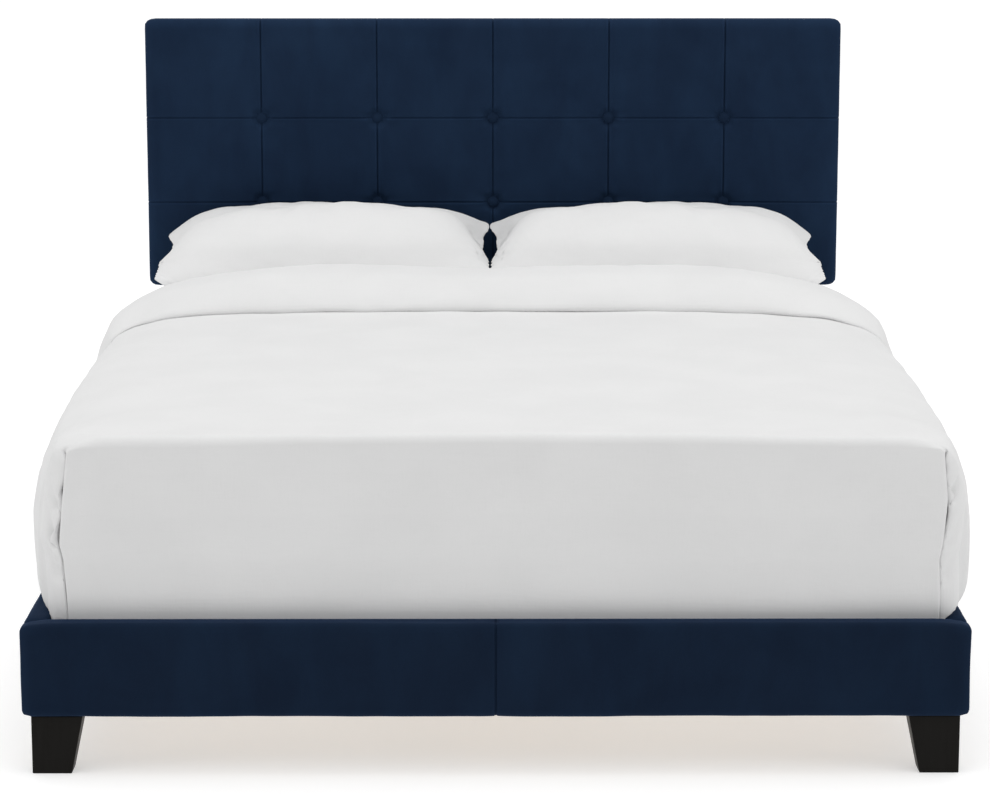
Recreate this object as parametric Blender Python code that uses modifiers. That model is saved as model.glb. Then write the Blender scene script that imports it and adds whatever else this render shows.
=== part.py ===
"""Upholstered queen-size bed with a tufted headboard, slatted base, mattress and bedding.

Metres, +Z up. The origin is on the floor under the middle of the bed. The foot of the bed
points to -Y, and left and right are as seen from the foot, so left is -X.
"""

import math

import bmesh
import bpy
import numpy as np
from mathutils import Matrix, Vector

# Driving dimensions.
GAP = 0.0003                 # left between two pieces that touch
BED_WIDTH = 1.638
BED_LENGTH = 2.180
HEADBOARD_TOP = 1.182
HEADBOARD_BOTTOM = 0.550
HEADBOARD_THICK = 0.054
RAIL_BOTTOM = 0.104
RAIL_TOP = 0.267
RAIL_THICK = 0.045
RAIL_PADDING = 0.017         # foam and velvet around a rail's board
MATTRESS_WIDTH = 1.524
MATTRESS_LENGTH = 2.032
MATTRESS_THICK = 0.300
MATTRESS_CLEARANCE = 0.012   # to the foot rail's inner face
SLAT_TOP = 0.220
SLAT_THICK = 0.015
SLAT_WIDTH = 0.085
SLAT_COUNT = 12
POST_THICK = 0.0194
POST_WIDTH = 0.060
POST_OUTER_X = 0.773
POST_TOP = 1.135
UPPER_BATTEN_TOP = 1.115
EDGE_BEVEL = 0.002           # on sawn edges
BOLT_HEAD = 0.0037
BUTTON_RADIUS = 0.0135
BUTTON_HEIGHT = 0.008
BUTTON_COLUMNS = 5
BUTTON_ROWS = (0.200, 0.400)  # heights above the headboard's lower edge
LEG_TOP_WIDTH = 0.0895
LEG_FOOT_WIDTH = 0.0685
LEG_TOP_DEPTH = 0.060
LEG_FOOT_DEPTH = 0.045
LEG_SETBACK = 0.015           # of the foot leg from the rail's faces
BRACKET_THICK = 0.003
BRACKET_LEG = 0.055
BRACKET_LOW = 0.110
BRACKET_HIGH = 0.170
DUVET_HALF_WIDTH = 0.862
DUVET_HEAD_Y = 0.495
PILLOW_LENGTH = 0.764
PILLOW_WIDTH = 0.372
PILLOW_THICK = 0.130
PILLOW_LEAN = math.radians(41.0)
PILLOW_MIDDLE_X = {"left": -0.385, "right": 0.371}  # the pairs meet a little left of the middle
PILLOW_SQUARENESS = 2.6      # 2 is an ellipsoid, and more is nearer a box

# Places worked out from them.
HALF_WIDTH = BED_WIDTH / 2
FOOT_Y = -BED_LENGTH / 2
FOOT_RAIL_BACK_Y = FOOT_Y + RAIL_THICK
RAIL_INNER_X = HALF_WIDTH - RAIL_THICK
POST_BACK_Y = BED_LENGTH / 2 - BOLT_HEAD - GAP
POST_FRONT_Y = POST_BACK_Y - POST_THICK
HEADBOARD_BACK_Y = POST_FRONT_Y - GAP
HEADBOARD_FRONT_Y = HEADBOARD_BACK_Y - HEADBOARD_THICK
MATTRESS_FOOT_Y = FOOT_RAIL_BACK_Y + MATTRESS_CLEARANCE
MATTRESS_HEAD_Y = MATTRESS_FOOT_Y + MATTRESS_LENGTH
MATTRESS_BOTTOM = SLAT_TOP + GAP
MATTRESS_TOP = MATTRESS_BOTTOM + MATTRESS_THICK
SLAT_BOTTOM = SLAT_TOP - SLAT_THICK
BEAM_BOTTOM = 0.135
HEAD_RAIL_BOTTOM = 0.125
HEAD_RAIL_TOP = 0.265

NAVY = (0.012, 0.024, 0.052)
WHITE = (0.80, 0.80, 0.80)
BLACK = (0.012, 0.012, 0.012)
PINE = (0.60, 0.43, 0.26)
PLY = (0.52, 0.36, 0.21)
FOAM = (0.72, 0.66, 0.48)
STEEL = (0.06, 0.06, 0.065)


def clear_scene():
    for obj in list(bpy.data.objects):
        bpy.data.objects.remove(obj)


def new_collection(name):
    collection = bpy.data.collections.new(name)
    bpy.context.scene.collection.children.link(collection)
    return collection


def paint(obj, colour, roughness, metallic=0.0):
    """Gives the object a material of its own."""
    material = bpy.data.materials.new(obj.name)
    material.use_nodes = True
    shader = material.node_tree.nodes["Principled BSDF"]
    shader.inputs["Base Color"].default_value = (*colour, 1.0)
    shader.inputs["Roughness"].default_value = roughness
    shader.inputs["Metallic"].default_value = metallic
    material.diffuse_color = (*colour, 1.0)
    obj.data.materials.append(material)


def object_from(name, bm, location, collection):
    """Makes an object of the bmesh, which is drawn around the object's own origin."""
    mesh = bpy.data.meshes.new(name)
    bm.to_mesh(mesh)
    bm.free()
    obj = bpy.data.objects.new(name, mesh)
    obj.location = location
    collection.objects.link(obj)
    return obj


def add_bevel(obj, width, segments):
    bevel = obj.modifiers.new("rounded_edges", "BEVEL")
    bevel.width = width
    bevel.segments = segments
    bevel.limit_method = "ANGLE"


def add_box(name, low, high, bevel=0.0, segments=1, collection=None):
    """A box between two corners in world coordinates, with its origin at its centre."""
    low = Vector(low)
    high = Vector(high)
    bm = bmesh.new()
    bmesh.ops.create_cube(bm, size=1.0, matrix=Matrix.Diagonal((*(high - low), 1.0)))
    obj = object_from(name, bm, (low + high) / 2, collection or parts)
    if bevel:
        add_bevel(obj, bevel, segments)
    return obj


def mirrored(low, high, side):
    """The two corners of a box given for the right side, on the side asked for."""
    if side > 0:
        return low, high
    return (-high[0], low[1], low[2]), (-low[0], high[1], high[2])


def side_box(name, low, high, side, bevel=0.0, segments=1, collection=None):
    low, high = mirrored(low, high, side)
    return add_box(name, low, high, bevel, segments, collection)


def cut(obj, cutter):
    cutter.hide_render = True
    cutter.display_type = "WIRE"
    boolean = obj.modifiers.new("cut_" + cutter.name, "BOOLEAN")
    boolean.operation = "DIFFERENCE"
    boolean.solver = "EXACT"
    boolean.object = cutter


def turned(name, profile, location, rotation=(0.0, 0.0, 0.0), steps=16):
    """A solid of revolution. The profile's (radius, height) points run from top to bottom."""
    bm = bmesh.new()
    points = [bm.verts.new((radius, 0.0, height)) for radius, height in profile]
    for upper, lower in zip(points, points[1:]):
        bm.edges.new((upper, lower))
    obj = object_from(name, bm, location, parts)
    obj.rotation_euler = rotation
    screw = obj.modifiers.new("turned", "SCREW")
    screw.steps = steps
    screw.render_steps = steps
    screw.use_merge_vertices = True
    screw.merge_threshold = 0.00001
    screw.use_smooth_shade = True
    return obj


def round_cutter(name, radius_low, radius_high, length, location, rotation):
    """A cone or cylinder, centred on its location, to cut a round hole with."""
    bm = bmesh.new()
    bmesh.ops.create_cone(
        bm, cap_ends=True, segments=16, radius1=radius_low, radius2=radius_high, depth=length
    )
    obj = object_from(name, bm, location, cutters)
    obj.rotation_euler = rotation
    return obj


def soft_block(name, location, shape, cuts, rotation=(0.0, 0.0, 0.0), levels=1):
    """A cube cage whose points are placed by shape(u, v, w), each from -1 to 1, then smoothed."""
    bm = bmesh.new()
    bmesh.ops.create_cube(bm, size=2.0)
    bmesh.ops.subdivide_edges(bm, edges=bm.edges[:], cuts=cuts, use_grid_fill=True)
    for vert in bm.verts:
        vert.co = shape(*vert.co)
    obj = object_from(name, bm, location, parts)
    obj.rotation_euler = rotation
    smooth = obj.modifiers.new("smooth", "SUBSURF")
    smooth.levels = levels
    smooth.render_levels = levels
    return obj


FACING_FOOT = (math.pi / 2, 0.0, 0.0)
FACING_HEAD = (-math.pi / 2, 0.0, 0.0)
SIDES = (("left", -1), ("right", 1))


# Rails: each is a board in a padded velvet cover that is open towards the mattress.

RAIL_BOARD_LOW = RAIL_BOTTOM + RAIL_PADDING
RAIL_BOARD_HIGH = RAIL_TOP - RAIL_PADDING
RAIL_EDGE_RADIUS = 0.010
POCKET_OVERRUN = 0.010       # of a pocket's cutter past the cover's open face


def make_foot_rail():
    cover = add_box(
        "foot_rail_cover",
        (-HALF_WIDTH, FOOT_Y, RAIL_BOTTOM),
        (HALF_WIDTH, FOOT_RAIL_BACK_Y, RAIL_TOP),
        RAIL_EDGE_RADIUS,
        3,
    )
    half = HALF_WIDTH - RAIL_PADDING
    front = FOOT_Y + RAIL_PADDING
    pocket = add_box(
        "foot_rail_pocket",
        (-half, front, RAIL_BOARD_LOW),
        (half, FOOT_RAIL_BACK_Y + POCKET_OVERRUN, RAIL_BOARD_HIGH),
        collection=cutters,
    )
    cut(cover, pocket)
    paint(cover, NAVY, 0.85)
    board = add_box(
        "foot_rail_board",
        (-half + GAP, front + GAP, RAIL_BOARD_LOW + GAP),
        (half - GAP, FOOT_RAIL_BACK_Y - GAP, RAIL_BOARD_HIGH - GAP),
    )
    paint(board, PINE, 0.65)


def make_side_rail(side_name, side):
    foot = FOOT_RAIL_BACK_Y + GAP
    head = POST_FRONT_Y - GAP
    cover = side_box(
        "side_rail_cover_" + side_name,
        (RAIL_INNER_X, foot, RAIL_BOTTOM),
        (HALF_WIDTH, head, RAIL_TOP),
        side,
        RAIL_EDGE_RADIUS,
        3,
    )
    outer = HALF_WIDTH - RAIL_PADDING
    pocket = side_box(
        "side_rail_pocket_" + side_name,
        (RAIL_INNER_X - POCKET_OVERRUN, foot + RAIL_PADDING, RAIL_BOARD_LOW),
        (outer, head - RAIL_PADDING, RAIL_BOARD_HIGH),
        side,
        collection=cutters,
    )
    cut(cover, pocket)
    paint(cover, NAVY, 0.85)
    board = side_box(
        "side_rail_board_" + side_name,
        (RAIL_INNER_X + GAP, foot + RAIL_PADDING + GAP, RAIL_BOARD_LOW + GAP),
        (outer - GAP, head - RAIL_PADDING - GAP, RAIL_BOARD_HIGH - GAP),
        side,
    )
    paint(board, PINE, 0.65)


# Slatted base.

LEDGER_WIDTH = 0.025
LEDGER_BOTTOM = 0.175
BEAM_HALF_WIDTH = 0.025
FIRST_SLAT_Y = -0.975
LAST_SLAT_Y = 0.945
SLAT_HALF_LENGTH = RAIL_INNER_X - 0.002
CENTRE_LEG_Y = (-0.500, 0.500)
CENTRE_LEG_HALF = 0.020
CENTRE_LEG_BOTTOM = 0.0125
STEM_RADIUS = 0.004
STEM_TOP = 0.038
STEM_HOLE_DEPTH = 0.035
PAD_RADIUS = 0.015
PAD_TOP = 0.008
PAD_EDGE = 0.002


def make_ledger(side_name, side):
    """The batten along the inside of a side rail that the slats lie on."""
    ledger = side_box(
        "ledger_" + side_name,
        (RAIL_INNER_X - GAP - LEDGER_WIDTH, FOOT_RAIL_BACK_Y + GAP, LEDGER_BOTTOM),
        (RAIL_INNER_X - GAP, POST_FRONT_Y - GAP, SLAT_BOTTOM - GAP),
        side,
    )
    paint(ledger, PINE, 0.65)


def make_slats():
    for index, y in enumerate(np.linspace(FIRST_SLAT_Y, LAST_SLAT_Y, SLAT_COUNT)):
        slat = add_box(
            f"slat_{index + 1:02d}",
            (-SLAT_HALF_LENGTH, y - SLAT_WIDTH / 2, SLAT_BOTTOM),
            (SLAT_HALF_LENGTH, y + SLAT_WIDTH / 2, SLAT_TOP),
            EDGE_BEVEL,
        )
        paint(slat, PINE, 0.6)


def make_centre_support():
    beam = add_box(
        "centre_beam",
        (-BEAM_HALF_WIDTH, FOOT_RAIL_BACK_Y + GAP, BEAM_BOTTOM),
        (BEAM_HALF_WIDTH, POST_FRONT_Y - GAP, SLAT_BOTTOM - GAP),
        EDGE_BEVEL,
    )
    paint(beam, PINE, 0.65)
    for end_name, y in zip(("foot", "head"), CENTRE_LEG_Y):
        leg = add_box(
            "centre_leg_" + end_name,
            (-CENTRE_LEG_HALF, y - CENTRE_LEG_HALF, CENTRE_LEG_BOTTOM),
            (CENTRE_LEG_HALF, y + CENTRE_LEG_HALF, BEAM_BOTTOM - GAP),
            EDGE_BEVEL,
        )
        hole = round_cutter(
            "stem_hole_" + end_name,
            STEM_RADIUS + GAP,
            STEM_RADIUS + GAP,
            2 * STEM_HOLE_DEPTH,
            (0.0, y, CENTRE_LEG_BOTTOM),
            (0.0, 0.0, 0.0),
        )
        cut(leg, hole)
        paint(leg, BLACK, 0.5)
        foot = turned(
            "levelling_foot_" + end_name,
            (
                (0.0, STEM_TOP),
                (STEM_RADIUS, STEM_TOP),
                (STEM_RADIUS, PAD_TOP),
                (PAD_RADIUS - PAD_EDGE, PAD_TOP),
                (PAD_RADIUS, PAD_TOP - PAD_EDGE),
                (PAD_RADIUS, PAD_EDGE),
                (PAD_RADIUS - PAD_EDGE, 0.0),
                (0.0, 0.0),
            ),
            (0.0, y, 0.0),
        )
        paint(foot, STEEL, 0.4)


def make_foot_leg(side_name, side):
    """A tapered block: its outer and front faces are upright, the other two slope in."""
    outer_x = HALF_WIDTH - LEG_SETBACK
    front_y = FOOT_Y + LEG_SETBACK
    top = RAIL_BOTTOM - GAP
    leg = side_box(
        "foot_leg_" + side_name,
        (outer_x - LEG_TOP_WIDTH, front_y, 0.0),
        (outer_x, front_y + LEG_TOP_DEPTH, top),
        side,
    )
    for vert in leg.data.vertices:
        if vert.co.z < 0.0:
            if vert.co.x * side < 0.0:
                vert.co.x += side * (LEG_TOP_WIDTH - LEG_FOOT_WIDTH)
            if vert.co.y > 0.0:
                vert.co.y -= LEG_TOP_DEPTH - LEG_FOOT_DEPTH
    add_bevel(leg, EDGE_BEVEL, 2)
    paint(leg, BLACK, 0.35)


def make_bracket(name, side, corner_y, direction):
    """An L of steel plate, with one leg on the side rail and one across the bed.

    direction is +1 where the bed lies to +Y of the corner, and -1 where it lies to -Y.
    """
    rail_face = RAIL_INNER_X - GAP
    along = sorted((corner_y, corner_y + direction * BRACKET_LEG))
    bracket = side_box(
        name,
        (rail_face - BRACKET_LEG, along[0], BRACKET_LOW),
        (rail_face, along[1], BRACKET_HIGH),
        side,
    )
    inside = sorted((corner_y + direction * BRACKET_THICK, corner_y + direction * 2 * BRACKET_LEG))
    hollow = side_box(
        name + "_inside",
        (rail_face - 2 * BRACKET_LEG, inside[0], BRACKET_LOW - POCKET_OVERRUN),
        (rail_face - BRACKET_THICK, inside[1], BRACKET_HIGH + POCKET_OVERRUN),
        side,
        collection=cutters,
    )
    cut(bracket, hollow)
    paint(bracket, STEEL, 0.4)


# Headboard, from its front to its back.

COVER_THICK = 0.014
FOAM_THICK = 0.012
PANEL_THICK = 0.009
BACK_CLOTH_THICK = 0.001
COVER_RADIUS = 0.013
DIMPLE_DEPTH = 0.011
DIMPLE_MOUTH = 0.020
FOAM_FRONT_Y = HEADBOARD_FRONT_Y + COVER_THICK + GAP
PANEL_FRONT_Y = FOAM_FRONT_Y + FOAM_THICK + GAP
BATTEN_FRONT_Y = PANEL_FRONT_Y + PANEL_THICK + GAP
BACK_CLOTH_BACK_Y = HEADBOARD_BACK_Y - GAP
BACK_CLOTH_FRONT_Y = BACK_CLOTH_BACK_Y - BACK_CLOTH_THICK
INNER_HALF = HALF_WIDTH - COVER_THICK
INNER_LOW = HEADBOARD_BOTTOM + COVER_THICK
INNER_HIGH = HEADBOARD_TOP - COVER_THICK
BATTEN_HEIGHT = 0.070
BATTEN_SETBACK = 0.010       # of the lower batten from the cover's pocket
BATTEN_LOW = {"lower": INNER_LOW + BATTEN_SETBACK, "upper": UPPER_BATTEN_TOP - BATTEN_HEIGHT}
BOLT_RADIUS = 0.004
BOLT_HEAD_RADIUS = 0.008
BOLT_HEAD_FLAT = 0.0064      # radius of the head's flat end
BOLT_HEAD_SIDE = 0.0022      # height of the head's upright side
BOLT_TIP_COVER = 0.003       # wood left in front of a bolt's tip
BOLT_TIP_Y = BATTEN_FRONT_Y + BOLT_TIP_COVER
DIMPLE_CLEARANCE = 0.001     # round a button
BUTTON_RIM = 0.0024          # height of a button's upright side


def inner_plate(name, front_y, back_y, colour):
    """A plate that fills the headboard cover's pocket between two depths."""
    plate = add_box(
        name,
        (-INNER_HALF + GAP, front_y, INNER_LOW + GAP),
        (INNER_HALF - GAP, back_y, INNER_HIGH - GAP),
    )
    paint(plate, colour, 0.8)
    return plate


def button_places():
    pitch = BED_WIDTH / (BUTTON_COLUMNS + 1)
    for row in reversed(BUTTON_ROWS):
        for column in range(BUTTON_COLUMNS):
            yield -HALF_WIDTH + pitch * (column + 1), HEADBOARD_BOTTOM + row


def make_headboard_cover():
    cover = add_box(
        "headboard_cover",
        (-HALF_WIDTH, HEADBOARD_FRONT_Y, HEADBOARD_BOTTOM),
        (HALF_WIDTH, HEADBOARD_BACK_Y, HEADBOARD_TOP),
        COVER_RADIUS,
        3,
    )
    pocket = add_box(
        "headboard_pocket",
        (-INNER_HALF, HEADBOARD_FRONT_Y + COVER_THICK, INNER_LOW),
        (INNER_HALF, HEADBOARD_BACK_Y + POCKET_OVERRUN, INNER_HIGH),
        collection=cutters,
    )
    cut(cover, pocket)
    bottom_radius = BUTTON_RADIUS + DIMPLE_CLEARANCE
    flare = (DIMPLE_MOUTH - bottom_radius) / DIMPLE_DEPTH
    for index, (x, z) in enumerate(button_places()):
        # The cutter stands out of the face as far as it goes in, and keeps its slope.
        dimple = round_cutter(
            f"dimple_{index + 1:02d}",
            bottom_radius,
            bottom_radius + 2 * DIMPLE_DEPTH * flare,
            2 * DIMPLE_DEPTH,
            (x, HEADBOARD_FRONT_Y, z),
            FACING_FOOT,
        )
        cut(cover, dimple)
    paint(cover, NAVY, 0.85)


def make_buttons():
    """Velvet-covered buttons at the bottom of the dimples."""
    base_y = HEADBOARD_FRONT_Y + DIMPLE_DEPTH - GAP
    dome = BUTTON_HEIGHT - BUTTON_RIM
    crown = [
        (BUTTON_RADIUS * math.cos(angle), BUTTON_RIM + dome * math.sin(angle))
        for angle in (math.radians(67.5), math.radians(45.0), math.radians(22.5), 0.0)
    ]
    profile = ((0.0, BUTTON_HEIGHT), *crown, (BUTTON_RADIUS, 0.0), (0.0, 0.0))
    for index, (x, z) in enumerate(button_places()):
        button = turned(f"tuft_button_{index + 1:02d}", profile, (x, base_y, z), FACING_FOOT, 12)
        paint(button, NAVY, 0.85)


def make_headboard_inside():
    """Foam, panel, dust cover and battens. Returns the two that the bolts pass through."""
    inner_plate("headboard_foam", FOAM_FRONT_Y, FOAM_FRONT_Y + FOAM_THICK, FOAM)
    inner_plate("headboard_panel", PANEL_FRONT_Y, PANEL_FRONT_Y + PANEL_THICK, PLY)
    back_cloth = inner_plate(
        "headboard_dust_cover", BACK_CLOTH_FRONT_Y, BACK_CLOTH_BACK_Y, BLACK
    )
    battens = {}
    for level, low in BATTEN_LOW.items():
        batten = add_box(
            "headboard_batten_" + level,
            (-INNER_HALF + GAP, BATTEN_FRONT_Y, low),
            (INNER_HALF - GAP, BACK_CLOTH_FRONT_Y - GAP, low + BATTEN_HEIGHT),
        )
        paint(batten, PINE, 0.65)
        battens[level] = batten
    return back_cloth, battens


def make_post(side_name, side, back_cloth, battens):
    """A post on the floor behind the headboard, with the two bolts that hold the headboard."""
    post = side_box(
        "headboard_post_" + side_name,
        (POST_OUTER_X - POST_WIDTH, POST_FRONT_Y, 0.0),
        (POST_OUTER_X, POST_BACK_Y, POST_TOP),
        side,
        EDGE_BEVEL,
    )
    x = side * (POST_OUTER_X - POST_WIDTH / 2)
    shank = POST_BACK_Y + GAP - BOLT_TIP_Y
    for level, low in BATTEN_LOW.items():
        z = low + BATTEN_HEIGHT / 2
        hole = round_cutter(
            f"bolt_hole_{side_name}_{level}",
            BOLT_RADIUS + GAP,
            BOLT_RADIUS + GAP,
            2 * (POST_BACK_Y - BOLT_TIP_Y + GAP),
            (x, POST_BACK_Y, z),
            FACING_HEAD,
        )
        for obj in (post, back_cloth, battens[level]):
            cut(obj, hole)
        bolt = turned(
            f"headboard_bolt_{side_name}_{level}",
            (
                (0.0, shank + BOLT_HEAD),
                (BOLT_HEAD_FLAT, shank + BOLT_HEAD),
                (BOLT_HEAD_RADIUS, shank + BOLT_HEAD_SIDE),
                (BOLT_HEAD_RADIUS, shank),
                (BOLT_RADIUS, shank),
                (BOLT_RADIUS, 0.0),
                (0.0, 0.0),
            ),
            (x, BOLT_TIP_Y, z),
            FACING_HEAD,
        )
        paint(bolt, STEEL, 0.35, 0.9)
    paint(post, BLACK, 0.5)


def make_head_rail():
    inner_x = POST_OUTER_X - POST_WIDTH
    rail = add_box(
        "head_rail",
        (-inner_x + GAP, POST_FRONT_Y, HEAD_RAIL_BOTTOM),
        (inner_x - GAP, POST_BACK_Y, HEAD_RAIL_TOP),
        EDGE_BEVEL,
    )
    paint(rail, PINE, 0.65)


# Mattress and bedding: plain solids that keep clear of each other.

SOFT_GAP = 0.004
DUVET_BOTTOM = RAIL_TOP + 0.0025
DUVET_TOP = 0.590
DUVET_CREST = 0.670          # top of the turned-down end by the pillows
DUVET_FOOT_Y = FOOT_Y + 0.022
CUFF_START = 0.72            # share of the half length where the turned-down end begins
FOOT_HALF_WIDTH = 0.815      # the duvet's corners are drawn in at the foot
FOOT_TAPER = 3               # the full width is reached in this part of the length
TUCK_HALF_WIDTH = RAIL_INNER_X + 0.014
BULGE_FROM = 0.16            # where the sides' bulge starts and ends, as shares of a half wave
BULGE_TO = 0.78
SHOULDER_DROP = 0.035        # of the top towards the sides
CAVITY_OVERRUN = 0.1         # of the cavity's cutter past the duvet's open faces
MATTRESS_RADIUS = 0.035


def make_mattress():
    mattress = add_box(
        "mattress",
        (-MATTRESS_WIDTH / 2, MATTRESS_FOOT_Y, MATTRESS_BOTTOM),
        (MATTRESS_WIDTH / 2, MATTRESS_HEAD_Y, MATTRESS_TOP),
        MATTRESS_RADIUS,
        3,
    )
    paint(mattress, WHITE, 0.9)


def duvet_shape(u, v, w):
    """The duvet's outside. v runs from the foot to the head, and w from the bottom to the top."""
    along = (v + 1.0) / 2
    up = (w + 1.0) / 2
    widening = min(along * FOOT_TAPER, 1.0)
    half_width = FOOT_HALF_WIDTH + (DUVET_HALF_WIDTH - FOOT_HALF_WIDTH) * widening
    bulge = math.sin(math.pi * (BULGE_FROM + (BULGE_TO - BULGE_FROM) * up))
    x = u * (TUCK_HALF_WIDTH + (half_width - TUCK_HALF_WIDTH) * bulge)
    y = DUVET_FOOT_Y + (DUVET_HEAD_Y - DUVET_FOOT_Y) * along
    cuff = max(v - CUFF_START, 0.0) / (1.0 - CUFF_START)
    top = DUVET_TOP + (DUVET_CREST - DUVET_TOP) * cuff - SHOULDER_DROP * u**4
    return Vector((x, y, DUVET_BOTTOM + (top - DUVET_BOTTOM) * up))


def make_duvet():
    """A cover over the mattress, open below and at the head."""
    duvet = soft_block("duvet", (0.0, 0.0, 0.0), duvet_shape, 6)
    cavity = add_box(
        "duvet_cavity",
        (-MATTRESS_WIDTH / 2 - SOFT_GAP, MATTRESS_FOOT_Y - SOFT_GAP, DUVET_BOTTOM - CAVITY_OVERRUN),
        (MATTRESS_WIDTH / 2 + SOFT_GAP, DUVET_HEAD_Y + CAVITY_OVERRUN, MATTRESS_TOP + SOFT_GAP),
        collection=cutters,
    )
    cut(duvet, cavity)
    paint(duvet, WHITE, 0.9)


def superquadric(value, others, power):
    """Draws a cage coordinate in, so that the cube becomes a rounded pillow form."""
    size = (abs(value) ** power + sum(abs(other) ** power for other in others)) ** (1.0 / power)
    return value / size if size else 0.0


def pillow_shape(u, v, w):
    power = PILLOW_SQUARENESS
    return Vector(
        (
            superquadric(u, (v, w), power) * PILLOW_LENGTH / 2,
            superquadric(v, (u, w), power) * PILLOW_WIDTH / 2,
            superquadric(w, (u, v), power) * PILLOW_THICK / 2,
        )
    )


def make_pillows():
    """Two pillows lean on the headboard, and two more lean on those."""
    half_y = math.hypot(
        PILLOW_WIDTH / 2 * math.cos(PILLOW_LEAN), PILLOW_THICK / 2 * math.sin(PILLOW_LEAN)
    )
    half_z = math.hypot(
        PILLOW_WIDTH / 2 * math.sin(PILLOW_LEAN), PILLOW_THICK / 2 * math.cos(PILLOW_LEAN)
    )
    back_y = HEADBOARD_FRONT_Y - SOFT_GAP - half_y
    front_y = back_y - (PILLOW_THICK + SOFT_GAP) / math.sin(PILLOW_LEAN)
    height = MATTRESS_TOP + SOFT_GAP + half_z
    for side_name, x in PILLOW_MIDDLE_X.items():
        for row_name, y in (("back", back_y), ("front", front_y)):
            pillow = soft_block(
                f"pillow_{side_name}_{row_name}",
                (x, y, height),
                pillow_shape,
                4,
                (PILLOW_LEAN, 0.0, 0.0),
            )
            paint(pillow, WHITE, 0.9)


clear_scene()
parts = new_collection("upholstered_headboard_bed")
cutters = new_collection("cutters")

make_foot_rail()
for side_label, side_sign in SIDES:
    make_side_rail(side_label, side_sign)
    make_ledger(side_label, side_sign)
    make_foot_leg(side_label, side_sign)
    make_bracket("bracket_foot_" + side_label, side_sign, FOOT_RAIL_BACK_Y + GAP, 1)
    make_bracket("bracket_head_" + side_label, side_sign, POST_FRONT_Y - GAP, -1)
make_slats()
make_centre_support()
make_headboard_cover()
make_buttons()
dust_cover, headboard_battens = make_headboard_inside()
for side_label, side_sign in SIDES:
    make_post(side_label, side_sign, dust_cover, headboard_battens)
make_head_rail()
make_mattress()
make_duvet()
make_pillows()
for part in parts.objects:
    if part.name.startswith(("duvet", "pillow", "mattress", "levelling", "tuft", "headboard_bolt")):
        part.data.shade_smooth()
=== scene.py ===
"""The looks of the upholstered headboard bed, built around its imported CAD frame.

Everything is in metres, in the frame of the CAD model: +Z up, the foot of the bed to -Y.
"""

import math

import bmesh
import bpy
import numpy as np
from mathutils import Matrix, Vector


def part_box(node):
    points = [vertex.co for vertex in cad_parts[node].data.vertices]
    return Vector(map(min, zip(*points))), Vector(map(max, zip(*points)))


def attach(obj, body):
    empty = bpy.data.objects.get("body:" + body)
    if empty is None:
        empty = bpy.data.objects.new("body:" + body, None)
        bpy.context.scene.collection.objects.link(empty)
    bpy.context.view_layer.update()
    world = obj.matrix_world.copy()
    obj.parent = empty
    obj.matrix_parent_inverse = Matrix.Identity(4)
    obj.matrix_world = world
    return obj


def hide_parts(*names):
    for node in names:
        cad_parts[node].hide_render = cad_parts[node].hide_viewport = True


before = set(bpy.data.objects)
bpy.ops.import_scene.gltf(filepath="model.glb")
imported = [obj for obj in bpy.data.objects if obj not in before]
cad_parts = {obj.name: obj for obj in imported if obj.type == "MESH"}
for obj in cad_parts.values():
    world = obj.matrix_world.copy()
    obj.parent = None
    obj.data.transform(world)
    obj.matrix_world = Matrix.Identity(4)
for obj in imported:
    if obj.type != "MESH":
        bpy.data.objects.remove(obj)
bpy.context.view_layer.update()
FRAME_BODY = "bed_frame"
SIDES = (("left", -1), ("right", 1))

FOOT_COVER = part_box("foot_rail_cover")
SIDE_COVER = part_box("side_rail_cover_right")
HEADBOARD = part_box("headboard_cover")
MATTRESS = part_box("mattress")
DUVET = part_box("duvet")


# ---------------- camera and light

CAMERA_LENS = 109.3
CAMERA_PLACE = (-0.017, -6.088, 1.587)
CAMERA_TILT_DOWN = 0.1827
CAMERA_ROLL = -0.0031

SKY_HORIZON = 0.555
SKY_MORE_OVERHEAD = 0.70
SKY_BELOW = 0.95
FLOOR_GREY = 0.70
FLOOR_GLOW = 0.44
WHITE = (1.0, 1.0, 1.0, 1.0)


def make_camera():
    """A long lens at standing height, at the foot of the bed."""
    data = bpy.data.cameras.new("camera")
    data.sensor_width = 36.0
    data.lens = CAMERA_LENS
    data.clip_end = 200.0
    camera = bpy.data.objects.new("camera", data)
    camera.location = CAMERA_PLACE
    camera.rotation_euler = (math.pi / 2 - CAMERA_TILT_DOWN, 0.0, CAMERA_ROLL)
    bpy.context.scene.collection.objects.link(camera)
    bpy.context.scene.camera = camera


def make_area_light(name, location, target, size, power):
    data = bpy.data.lights.new(name, "AREA")
    data.shape = "RECTANGLE"
    data.size, data.size_y = size
    data.energy = power
    light = bpy.data.objects.new(name, data)
    light.location = location
    light.rotation_euler = (Vector(target) - Vector(location)).to_track_quat("-Z", "Y").to_euler()
    bpy.context.scene.collection.objects.link(light)


def set_input(tree, socket, value):
    """Sets a node's input to a value, or links it to another node's output."""
    if isinstance(value, bpy.types.NodeSocket):
        tree.links.new(value, socket)
    else:
        socket.default_value = value


def add_node(tree, kind, inputs=None, **settings):
    node = tree.nodes.new(kind)
    for key, value in settings.items():
        setattr(node, key, value)
    for key, value in (inputs or {}).items():
        set_input(tree, node.inputs[key], value)
    return node


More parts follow.
